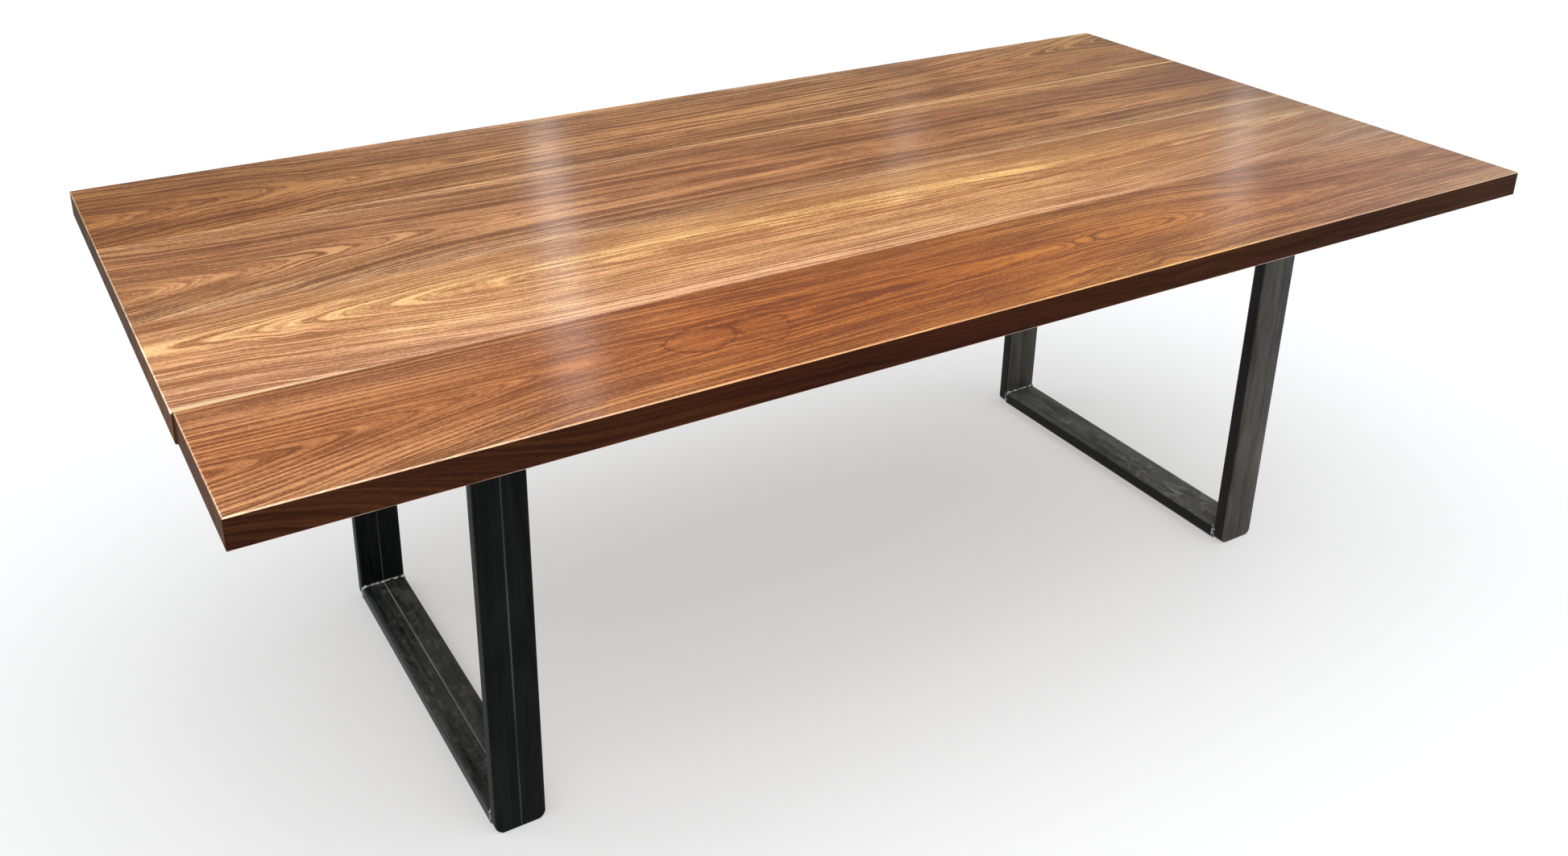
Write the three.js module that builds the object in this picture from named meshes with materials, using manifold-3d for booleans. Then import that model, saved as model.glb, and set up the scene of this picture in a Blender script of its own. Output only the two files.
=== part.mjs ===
// Walnut table: an edge-glued top of wide boards, carried by two welded steel U-frames.
//
// Units are millimetres and +Z is up. +X runs along the table's length and -Y is its front.
// The origin is on the floor, under the centre of the top.
//
// Each frame is made of rectangular tube. Its legs reach the floor, and a floor rail butts
// between them with fillet welds. A flat bar is welded across the leg tops. Bolts go up through
// slots in the bar into threaded inserts in the boards, so that the wood can move.

import * as THREE from 'three';
import { mergeVertices } from 'three/addons/utils/BufferGeometryUtils.js';
import Module from 'manifold-3d';

const wasm = await Module();
wasm.setup();

// ---- Driving dimensions -------------------------------------------------------------------

const TABLE_HEIGHT = 752;
const TOP_LENGTH = 2134;
const TOP_THICKNESS = 41.3;
const TOP_ARRIS = 1.5; // chamfer that eases the top's outer edges
const GAP = 0.3; // clearance between pieces that touch: a glue line, a weld or a seat

// The boards from front to back. The front board is a little short at its left end.
const BOARDS = [
  { name: 'board_front', width: 248, leftSetback: 3 },
  { name: 'board_mid_front', width: 262, leftSetback: 0 },
  { name: 'board_mid_back', width: 283, leftSetback: 0 },
  { name: 'board_back', width: 273.1, leftSetback: 0 },
];

const TUBE_WIDE = 76.2; // the tube's face along the table's length
const TUBE_NARROW = 25.4;
const TUBE_WALL = 3.2;
const TUBE_CORNER = 5; // outer corner radius of the tube

const FRAME_DEPTH = 660; // across the outside of a frame's two legs
const LEFT_FRAME_INSET = 330; // from the top's left end to the frame's outer side
const RIGHT_FRAME_INSET = 275; // from the top's right end to the frame's outer side

const CAP_HEIGHT = 13; // closed end of a leg
const CAP_ROUNDING = 12; // radius of the cap's lower corners on the wide face

const BAR_THICKNESS = 6.3;
const BAR_SIDE_MARGIN = 12.7; // how far the bar runs past the tube's wide face, for its weld
const BAR_OVERHANG = 102; // how far the bar runs past each leg
const BAR_CORNER = 4;

const WELD_LEG = 4.5; // fillet size of every weld bead
const WELD_FLOOR_CLEARANCE = 1.5; // the bead is ground back from the floor

const BOLT_DIAMETER = 7.4; // an M8 thread, drawn as a plain shank
const BOLT_LENGTH = 20;
const BOLT_TIP = 0.8;
const BOLT_HEX_FLATS = 13;
const BOLT_HEX_HEIGHT = 5.4;
const BOLT_FLANGE_DIAMETER = 17;
const BOLT_FLANGE_THICKNESS = 1.8;
const BOLT_FLANGE_RIM = 0.9;
const BOLT_END_MARGIN = 32; // from the bar's end to its first bolt
const BOLT_LEG_CLEARANCE = 64; // from a leg's inner face to the next bolt, for a wrench
const BOLT_CENTRE_OFFSET = 90; // from the table's centre line to the nearest bolt
const SLOT_CLEARANCE = 1.6; // how much wider than the bolt a slot is
const SLOT_TRAVEL = 14; // how far a bolt can shift across the grain

const INSERT_WALL = 2.1;
const INSERT_LENGTH = 13;
const INSERT_BORE_EXTRA_DEPTH = 3;

// ---- Derived places -----------------------------------------------------------------------

const TOP_WIDTH = BOARDS.reduce((sum, board) => sum + board.width, 0) + (BOARDS.length - 1) * GAP;
const TOP_UNDERSIDE = TABLE_HEIGHT - TOP_THICKNESS;
const BAR_TOP = TOP_UNDERSIDE - GAP;
const BAR_UNDERSIDE = BAR_TOP - BAR_THICKNESS;
const BAR_LENGTH = FRAME_DEPTH + 2 * BAR_OVERHANG;
const BAR_WIDTH = TUBE_WIDE + 2 * BAR_SIDE_MARGIN;
const LEG_CENTRE = FRAME_DEPTH / 2 - TUBE_NARROW / 2;
const LEG_INNER_FACE = FRAME_DEPTH / 2 - TUBE_NARROW;
const LEG_BOTTOM = CAP_HEIGHT + GAP;
const LEG_TOP = BAR_UNDERSIDE - GAP;
const RAIL_LENGTH = 2 * (LEG_INNER_FACE - GAP);

const BOLT_REACH = [
  BAR_LENGTH / 2 - BOLT_END_MARGIN,
  LEG_INNER_FACE - BOLT_LEG_CLEARANCE,
  BOLT_CENTRE_OFFSET,
];
const BOLT_ROWS = [...BOLT_REACH.map((reach) => -reach), ...BOLT_REACH.toReversed()];
const BOLT_SEAT = BAR_UNDERSIDE - GAP;
const SLOT_WIDTH = BOLT_DIAMETER + SLOT_CLEARANCE;
const INSERT_BORE_RADIUS = BOLT_DIAMETER / 2 + GAP;
const INSERT_RADIUS = INSERT_BORE_RADIUS + INSERT_WALL;
const INSERT_SEAT = TOP_UNDERSIDE + GAP;

const FRAMES = [
  { name: 'left', x: -TOP_LENGTH / 2 + LEFT_FRAME_INSET + TUBE_WIDE / 2 },
  { name: 'right', x: TOP_LENGTH / 2 - RIGHT_FRAME_INSET - TUBE_WIDE / 2 },
];

const CORNER_STEPS = 2; // arc resolution of a rounded corner: two facets to a step
const CAP_STEPS = 4; // the same for the cap's larger rounding
const SLOT_STEPS = 4; // the same for each end of a slot
const ROUND_STEPS = 16; // facets of a bolt or an insert
const WELD_STEPS = 3; // facets across a bead's curved face

// ---- Materials ----------------------------------------------------------------------------

const walnut = (color) => new THREE.MeshStandardMaterial({ color, roughness: 0.35, metalness: 0 });
const steel = (color, roughness) => new THREE.MeshStandardMaterial({ color, roughness, metalness: 0.9 });

const BOARD_COLOURS = [0x9a5f36, 0xb08152, 0x9c7350, 0x967049];
const materials = {
  boards: BOARD_COLOURS.map(walnut),
  tube: steel(0x26282a, 0.45),
  cap: steel(0x222426, 0.5),
  bar: steel(0x2c2e30, 0.55),
  weld: steel(0x9a9c9c, 0.4),
  bolt: steel(0xb4b4ae, 0.35),
  insert: steel(0xb79d5c, 0.4),
};

// ---- Geometry helpers ---------------------------------------------------------------------

// A closed geometry as a solid that can be joined and cut.
function solid(geometry) {
  const bare = geometry.clone();
  bare.deleteAttribute('normal');
  bare.deleteAttribute('uv');
  const merged = mergeVertices(bare);
  const mesh = new wasm.Mesh({
    numProp: 3,
    vertProperties: new Float32Array(merged.attributes.position.array),
    triVerts: new Uint32Array(merged.index.array),
  });
  return new wasm.Manifold(mesh);
}

// The solid's surface as a geometry again.
function surface(manifold) {
  const mesh = manifold.getMesh();
  const geometry = new THREE.BufferGeometry();
  geometry.setAttribute('position', new THREE.BufferAttribute(mesh.vertProperties, 3));
  geometry.setIndex(new THREE.BufferAttribute(mesh.triVerts, 1));
  geometry.computeVertexNormals();
  return geometry;
}

// An outline centred on the origin, with its four corners rounded.
function roundedRectangle(width, height, radius) {
  const x = width / 2 - radius;
  const y = height / 2 - radius;
  const outline = new THREE.Shape();
  outline.absarc(x, y, radius, 0, Math.PI / 2);
  outline.absarc(-x, y, radius, Math.PI / 2, Math.PI);
  outline.absarc(-x, -y, radius, Math.PI, 1.5 * Math.PI);
  outline.absarc(x, -y, radius, 1.5 * Math.PI, 2 * Math.PI);
  outline.closePath();
  return outline;
}

function extrude(outline, depth, curveSegments = CORNER_STEPS) {
  return new THREE.ExtrudeGeometry(outline, { depth, bevelEnabled: false, curveSegments });
}

// The solid through a stack of convex rings that all have the same number of points,
// anticlockwise as seen from the last ring.
function loft(rings) {
  const count = rings[0].length;
  const last = (rings.length - 1) * count;
  const index = [];
  for (let ring = 0; ring < rings.length - 1; ring += 1) {
    for (let i = 0; i < count; i += 1) {
      const a = ring * count + i;
      const b = ring * count + ((i + 1) % count);
      index.push(a, b, b + count, a, b + count, a + count);
    }
  }
  for (let i = 1; i < count - 1; i += 1) {
    index.push(0, i + 1, i);
    index.push(last, last + i, last + i + 1);
  }
  const geometry = new THREE.BufferGeometry();
  geometry.setFromPoints(rings.flat());
  geometry.setIndex(index);
  return geometry;
}

// A ring for loft: the tube's outline, grown by an amount, at a height.
function tubeRing(growth, z) {
  const outline = roundedRectangle(TUBE_WIDE + 2 * growth, TUBE_NARROW + 2 * growth, TUBE_CORNER + growth);
  const points = outline.extractPoints(CORNER_STEPS).shape;
  return points.slice(0, -1).map((point) => new THREE.Vector3(point.x, point.y, z));
}

// A prism of the tube's outline with no bore, grown by the clearance, as a cutter.
function tubeClearance(length) {
  const outline = roundedRectangle(TUBE_WIDE + 2 * GAP, TUBE_NARROW + 2 * GAP, TUBE_CORNER + GAP);
  return extrude(outline, length);
}

function named(name, geometry, material) {
  const mesh = new THREE.Mesh(geometry, material);
  mesh.name = name;
  return mesh;
}

// ---- Top ----------------------------------------------------------------------------------

function block(xMin, xMax, yMin, yMax, zMin, zMax) {
  const geometry = new THREE.BoxGeometry(xMax - xMin, yMax - yMin, zMax - zMin);
  return geometry.translate((xMin + xMax) / 2, (yMin + yMax) / 2, (zMin + zMax) / 2);
}

// The whole top from a left end, with its outer edges eased.
function easedTop(leftEnd) {
  const rightEnd = TOP_LENGTH / 2;
  const halfWidth = TOP_WIDTH / 2;
  const ring = (z, inset) => [
    new THREE.Vector3(leftEnd + inset, -halfWidth + inset, z),
    new THREE.Vector3(rightEnd - inset, -halfWidth + inset, z),
    new THREE.Vector3(rightEnd - inset, halfWidth - inset, z),
    new THREE.Vector3(leftEnd + inset, halfWidth - inset, z),
  ];
  return loft([
    ring(TOP_UNDERSIDE, TOP_ARRIS),
    ring(TOP_UNDERSIDE + TOP_ARRIS, 0),
    ring(TABLE_HEIGHT - TOP_ARRIS, 0),
    ring(TABLE_HEIGHT, TOP_ARRIS),
  ]);
}

// The blind holes in the underside that hold the threaded inserts.
function insertHoles() {
  const depth = INSERT_LENGTH + INSERT_BORE_EXTRA_DEPTH;
  const radius = INSERT_RADIUS + GAP;
  return FRAMES.flatMap((frame) => BOLT_ROWS.map((y) => {
    const hole = new THREE.CylinderGeometry(radius, radius, 2 * depth, ROUND_STEPS);
    hole.rotateX(Math.PI / 2);
    hole.translate(frame.x, y, TOP_UNDERSIDE);
    return solid(hole);
  }));
}

function buildTop() {
  const top = new THREE.Group();
  const holes = insertHoles();
  let front = -TOP_WIDTH / 2;
  BOARDS.forEach((board, i) => {
    const leftEnd = -TOP_LENGTH / 2 + board.leftSetback;
    const strip = block(leftEnd, TOP_LENGTH / 2, front, front + board.width, TOP_UNDERSIDE, TABLE_HEIGHT);
    let body = solid(easedTop(leftEnd)).intersect(solid(strip));
    for (const hole of holes) {
      body = body.subtract(hole);
    }
    top.add(named(board.name, surface(body), materials.boards[i]));
    front += board.width + GAP;
  });
  return top;
}

// ---- Frame pieces -------------------------------------------------------------------------

function tube(length) {
  const outline = roundedRectangle(TUBE_WIDE, TUBE_NARROW, TUBE_CORNER);
  const bore = roundedRectangle(
    TUBE_WIDE - 2 * TUBE_WALL,
    TUBE_NARROW - 2 * TUBE_WALL,
    TUBE_CORNER - TUBE_WALL,
  );
  outline.holes.push(bore);
  return extrude(outline, length);
}

// The closed end of a leg: flat on the floor, with its lower corners rounded.
function legCap() {
  const half = TUBE_WIDE / 2;
  const profile = new THREE.Shape();
  profile.moveTo(half, CAP_HEIGHT);
  profile.lineTo(-half, CAP_HEIGHT);
  profile.absarc(-half + CAP_ROUNDING, CAP_ROUNDING, CAP_ROUNDING, Math.PI, 1.5 * Math.PI);
  profile.absarc(half - CAP_ROUNDING, CAP_ROUNDING, CAP_ROUNDING, 1.5 * Math.PI, 2 * Math.PI);
  profile.closePath();
  const rounded = extrude(profile, TUBE_NARROW, CAP_STEPS);
  rounded.rotateX(Math.PI / 2);
  rounded.translate(0, TUBE_NARROW / 2, 0);
  const upright = extrude(roundedRectangle(TUBE_WIDE, TUBE_NARROW, TUBE_CORNER), CAP_HEIGHT);
  return surface(solid(rounded).intersect(solid(upright)));
}

// Rings of a convex fillet bead that stands up from z = 0 around a tube.
function beadRings() {
  const rings = [tubeRing(GAP, -WELD_LEG)];
  for (let i = 0; i <= WELD_STEPS; i += 1) {
    const angle = (i / WELD_STEPS) * (Math.PI / 2);
    rings.push(tubeRing(GAP + WELD_LEG * Math.cos(angle), WELD_LEG * Math.sin(angle)));
  }
  return rings;
}

// The bead around a leg's top, under the bar.
function barWeld() {
  const rings = beadRings().slice(1);
  const bead = loft(rings);
  const leg = tubeClearance(4 * WELD_LEG).translate(0, 0, -2 * WELD_LEG);
  const ring = surface(solid(bead).subtract(solid(leg)));
  return ring.rotateX(Math.PI).translate(0, 0, LEG_TOP);
}

// The bead over a floor rail's top and down both of its sides, against the front leg. It also
// fills the grooves that the leg's rounded corners leave beside the end of the rail.
function railWeld() {
  const bead = loft(beadRings());
  bead.rotateX(-Math.PI / 2);
  bead.translate(0, -LEG_INNER_FACE, TUBE_NARROW / 2);
  const rail = tubeClearance(2 * WELD_LEG).rotateX(-Math.PI / 2);
  rail.translate(0, -LEG_INNER_FACE, TUBE_NARROW / 2);
  const leg = tubeClearance(4 * TUBE_NARROW).translate(0, -LEG_CENTRE, -TUBE_NARROW);
  const reach = TUBE_WIDE;
  const floor = block(-reach, reach, -FRAME_DEPTH / 2, 0, -reach, WELD_FLOOR_CLEARANCE);
  return surface(solid(bead).subtract(solid(rail)).subtract(solid(leg)).subtract(solid(floor)));
}

function slot(y) {
  const path = new THREE.Path();
  path.absarc(0, y + SLOT_TRAVEL / 2, SLOT_WIDTH / 2, 0, Math.PI);
  path.absarc(0, y - SLOT_TRAVEL / 2, SLOT_WIDTH / 2, Math.PI, 2 * Math.PI);
  path.closePath();
  return path;
}

// The flat bar that joins a frame's legs under the top, with a slot across the grain per bolt.
function topBar() {
  const outline = roundedRectangle(BAR_WIDTH, BAR_LENGTH, BAR_CORNER);
  outline.holes.push(...BOLT_ROWS.map(slot));
  return extrude(outline, BAR_THICKNESS, SLOT_STEPS);
}

// A hexagon flange bolt, with its seat at z = 0 and its shank upward.
function flangeBolt() {
  const shank = BOLT_DIAMETER / 2;
  const hexCorner = BOLT_HEX_FLATS / Math.sqrt(3);
  const profile = [
    new THREE.Vector2(0, -BOLT_FLANGE_THICKNESS),
    new THREE.Vector2(hexCorner, -BOLT_FLANGE_THICKNESS),
    new THREE.Vector2(BOLT_FLANGE_DIAMETER / 2, -BOLT_FLANGE_RIM),
    new THREE.Vector2(BOLT_FLANGE_DIAMETER / 2, 0),
    new THREE.Vector2(shank, 0),
    new THREE.Vector2(shank, BOLT_LENGTH - BOLT_TIP),
    new THREE.Vector2(shank - BOLT_TIP, BOLT_LENGTH),
    new THREE.Vector2(0, BOLT_LENGTH),
  ];
  const turned = new THREE.LatheGeometry(profile, ROUND_STEPS);
  const headHeight = BOLT_HEX_HEIGHT + BOLT_FLANGE_RIM;
  const head = new THREE.CylinderGeometry(hexCorner, hexCorner, headHeight, 6);
  head.translate(0, -BOLT_FLANGE_RIM - headHeight / 2, 0);
  return surface(solid(turned).add(solid(head))).rotateX(Math.PI / 2);
}

// A threaded insert, drawn as a plain sleeve with its mouth at z = 0.
function threadedInsert() {
  const profile = [
    new THREE.Vector2(INSERT_BORE_RADIUS, 0),
    new THREE.Vector2(INSERT_RADIUS, 0),
    new THREE.Vector2(INSERT_RADIUS, INSERT_LENGTH),
    new THREE.Vector2(INSERT_BORE_RADIUS, INSERT_LENGTH),
    new THREE.Vector2(INSERT_BORE_RADIUS, 0),
  ];
  return new THREE.LatheGeometry(profile, ROUND_STEPS).rotateX(Math.PI / 2);
}

// ---- Assembly -----------------------------------------------------------------------------

// One leg with its cap and its two welds, drawn at the front and turned round for the rear.
function buildLeg(frameName, end, turn) {
  const leg = new THREE.Group();
  leg.rotation.z = turn;

  const post = named(`${frameName}_leg_${end}`, tube(LEG_TOP - LEG_BOTTOM), materials.tube);
  post.position.set(0, -LEG_CENTRE, LEG_BOTTOM);

  const cap = named(`${frameName}_leg_cap_${end}`, legCap(), materials.cap);
  cap.position.y = -LEG_CENTRE;

  const upperBead = named(`${frameName}_bar_weld_${end}`, barWeld(), materials.weld);
  upperBead.position.y = -LEG_CENTRE;

  const lowerBead = named(`${frameName}_rail_weld_${end}`, railWeld(), materials.weld);
  leg.add(post, cap, upperBead, lowerBead);
  return leg;
}

function buildFasteners(frameName) {
  const fasteners = new THREE.Group();
  BOLT_ROWS.forEach((y, i) => {
    const bolt = named(`${frameName}_bolt_${i + 1}`, flangeBolt(), materials.bolt);
    bolt.position.set(0, y, BOLT_SEAT);
    const insert = named(`${frameName}_insert_${i + 1}`, threadedInsert(), materials.insert);
    insert.position.set(0, y, INSERT_SEAT);
    fasteners.add(bolt, insert);
  });
  return fasteners;
}

function buildFrame({ name, x }) {
  const frame = new THREE.Group();
  frame.position.x = x;
  frame.add(buildLeg(name, 'front', 0));
  frame.add(buildLeg(name, 'rear', Math.PI));

  const railGeometry = tube(RAIL_LENGTH).rotateX(-Math.PI / 2);
  const rail = named(`${name}_floor_rail`, railGeometry, materials.tube);
  rail.position.set(0, -RAIL_LENGTH / 2, TUBE_NARROW / 2);

  const bar = named(`${name}_top_bar`, topBar(), materials.bar);
  bar.position.z = BAR_UNDERSIDE;

  frame.add(rail, bar, buildFasteners(name));
  return frame;
}

const table = new THREE.Group();
table.add(buildTop());
FRAMES.forEach((frame) => table.add(buildFrame(frame)));

export default table;
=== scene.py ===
"""Looks for the walnut table on steel U-frames: meshes, materials, light and camera.

Metres, +Z up, in the CAD frame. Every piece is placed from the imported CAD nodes.
"""
import math

import bmesh
import bpy
from mathutils import Matrix, Vector, noise


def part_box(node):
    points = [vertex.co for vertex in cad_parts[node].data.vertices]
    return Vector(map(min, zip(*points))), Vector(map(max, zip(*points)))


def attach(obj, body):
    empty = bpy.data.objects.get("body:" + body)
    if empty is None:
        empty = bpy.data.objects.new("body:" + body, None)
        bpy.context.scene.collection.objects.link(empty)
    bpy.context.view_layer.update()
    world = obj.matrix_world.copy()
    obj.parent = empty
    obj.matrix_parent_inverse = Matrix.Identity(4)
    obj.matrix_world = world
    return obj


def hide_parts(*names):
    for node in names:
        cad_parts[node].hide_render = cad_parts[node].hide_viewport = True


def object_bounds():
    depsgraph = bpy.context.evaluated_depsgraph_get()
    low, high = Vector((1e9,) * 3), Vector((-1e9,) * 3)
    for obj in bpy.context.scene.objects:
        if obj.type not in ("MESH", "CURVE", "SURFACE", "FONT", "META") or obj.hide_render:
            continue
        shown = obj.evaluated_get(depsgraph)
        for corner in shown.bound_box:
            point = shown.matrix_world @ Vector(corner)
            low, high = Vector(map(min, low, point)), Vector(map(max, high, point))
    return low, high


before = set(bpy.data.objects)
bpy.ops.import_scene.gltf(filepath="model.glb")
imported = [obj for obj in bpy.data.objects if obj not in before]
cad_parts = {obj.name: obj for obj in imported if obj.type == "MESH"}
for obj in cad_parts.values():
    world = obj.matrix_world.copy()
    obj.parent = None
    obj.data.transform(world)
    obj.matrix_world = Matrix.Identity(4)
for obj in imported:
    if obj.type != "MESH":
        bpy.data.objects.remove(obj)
CAD_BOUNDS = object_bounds()

SIDES = ("left", "right")
ENDS = ("front", "rear")
BOARDS = ("board_front", "board_mid_front", "board_mid_back", "board_back")
BOLTS_PER_BAR = 6

# Sizes that the finer meshes share with the CAD solids, in metres.
TUBE_CORNER = 0.005
CAP_ROUNDING = 0.012
WELD_LEG = 0.0045
GLUE_GAP = 0.0003
SAME_PLACE = 1e-5


# ---- Shader graphs ------------------------------------------------------------------------


class Value:
    """A node socket that takes part in arithmetic, so that a formula reads as one."""

    def __init__(self, graph, socket):
        self.graph, self.socket = graph, socket

    def _op(self, operation, *others, **flags):
        return self.graph.math(operation, self, *others, **flags)

    def __add__(self, other):
        return self._op("ADD", other)

    def __sub__(self, other):
        return self._op("SUBTRACT", other)

    def __mul__(self, other):
        return self._op("MULTIPLY", other)

    def __truediv__(self, other):
        return self._op("DIVIDE", other)

    def __rsub__(self, other):
        return self.graph.math("SUBTRACT", other, self)

    def clamp(self):
        return self.graph.math("ADD", self, 0.0, clamp=True)


class Graph:
    """A material's node tree, with short calls for the nodes that the looks below use."""

    def __init__(self, name):
        self.material = bpy.data.materials.new(name)
        self.material.use_nodes = True
        self.tree = self.material.node_tree
        self.tree.nodes.clear()
        self.shader = self.tree.nodes.new("ShaderNodeBsdfPrincipled")
        output = self.tree.nodes.new("ShaderNodeOutputMaterial")
        self.tree.links.new(self.shader.outputs["BSDF"], output.inputs["Surface"])

    def feed(self, socket, value):
        if isinstance(value, Value):
            self.tree.links.new(value.socket, socket)
        else:
            socket.default_value = value

    def node(self, kind, **settings):
        made = self.tree.nodes.new(kind)
        for key, value in settings.items():
            setattr(made, key, value)
        return made

    def math(self, operation, *values, clamp=False):
        made = self.node("ShaderNodeMath", operation=operation, use_clamp=clamp)
        for socket, value in zip(made.inputs, values):
            self.feed(socket, value)
        return Value(self, made.outputs[0])

    def place(self):
        """The three coordinates of a point of the piece, in metres."""
        coordinates = self.node("ShaderNodeTexCoord")
        split = self.node("ShaderNodeSeparateXYZ")
        self.tree.links.new(coordinates.outputs["Object"], split.inputs[0])
        return [Value(self, out) for out in split.outputs]

    def facing_x(self):
        """How far the surface faces along X in the piece's own frame, from -1 to 1."""
        coordinates = self.node("ShaderNodeTexCoord")
        split = self.node("ShaderNodeSeparateXYZ")
        self.tree.links.new(coordinates.outputs["Normal"], split.inputs[0])
        return Value(self, split.outputs["X"])

    def vector(self, x, y, z):
        made = self.node("ShaderNodeCombineXYZ")
        for socket, value in zip(made.inputs, (x, y, z)):
            self.feed(socket, value)
        return Value(self, made.outputs[0])

    def noise(self, x, y, z, detail=2.0, roughness=0.5, distortion=0.0):
        """Noise of about -1 to 1 at coordinates that are already scaled to its features."""
        made = self.node("ShaderNodeTexNoise", noise_dimensions="3D")
        self.feed(made.inputs["Vector"], self.vector(x, y, z))
        made.inputs["Scale"].default_value = 1.0
        made.inputs["Detail"].default_value = detail
        made.inputs["Roughness"].default_value = roughness
        made.inputs["Distortion"].default_value = distortion
        return (Value(self, made.outputs["Fac"]) - 0.5) * 2.0

    def random_of(self, value):
        """A random number from 0 to 1 for each whole number."""
        made = self.node("ShaderNodeTexWhiteNoise", noise_dimensions="1D")
        self.feed(made.inputs["W"], value)
        return Value(self, made.outputs["Value"])

    def ramp(self, factor, stops, interpolation="LINEAR"):
        """A colour (or grey) for a factor, from (position, colour) stops."""
        made = self.node("ShaderNodeValToRGB")
        made.color_ramp.interpolation = interpolation
        elements = made.color_ramp.elements
        while len(elements) < len(stops):
            elements.new(0.5)
        for element, (position, colour) in zip(elements, stops):
            element.position = position
            element.color = (*colour, 1.0) if isinstance(colour, tuple) else (colour,) * 3 + (1.0,)
        self.feed(made.inputs["Fac"], factor)
        return Value(self, made.outputs["Color"])

    def smooth(self, value, low, high):
        """0 below low, 1 above high, and a smooth step between."""
        made = self.node("ShaderNodeMapRange", interpolation_type="SMOOTHSTEP")
        for name, number in (("Value", value), ("From Min", low), ("From Max", high)):
            self.feed(made.inputs[name], number)
        return Value(self, made.outputs["Result"])

    def mix(self, factor, one, other, blend="MIX"):
        made = self.node("ShaderNodeMix", data_type="RGBA", blend_type=blend)
        made.clamp_factor = True
        self.feed(made.inputs["Factor"], factor)
        for socket, colour in ((made.inputs["A"], one), (made.inputs["B"], other)):
            self.feed(socket, (*colour, 1.0) if isinstance(colour, tuple) else colour)
        return Value(self, made.outputs["Result"])

    def bump(self, height, distance, strength=1.0):
        """Feeds the shader's normal from a height that spans 0 to 1 over a distance in metres."""
        made = self.node("ShaderNodeBump")
        made.inputs["Strength"].default_value = strength
        made.inputs["Distance"].default_value = distance
        self.feed(made.inputs["Height"], height)
        self.tree.links.new(made.outputs["Normal"], self.shader.inputs["Normal"])

    def finish(self, **inputs):
        for name, value in inputs.items():
            socket = self.shader.inputs[name.replace("_", " ").title().replace("Ior", "IOR")]
            self.feed(socket, (*value, 1.0) if isinstance(value, tuple) else value)
        return self.material


# ---- Walnut -------------------------------------------------------------------------------


ALBEDO = 0.62  # the wood's own brightness under this studio's light


def srgb(red, green, blue, albedo=ALBEDO):
    """The wood's linear colour for the 8-bit colour that it shows in this studio."""
    return tuple((channel / 255) ** 2.2 * albedo for channel in (red, green, blue))


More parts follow.
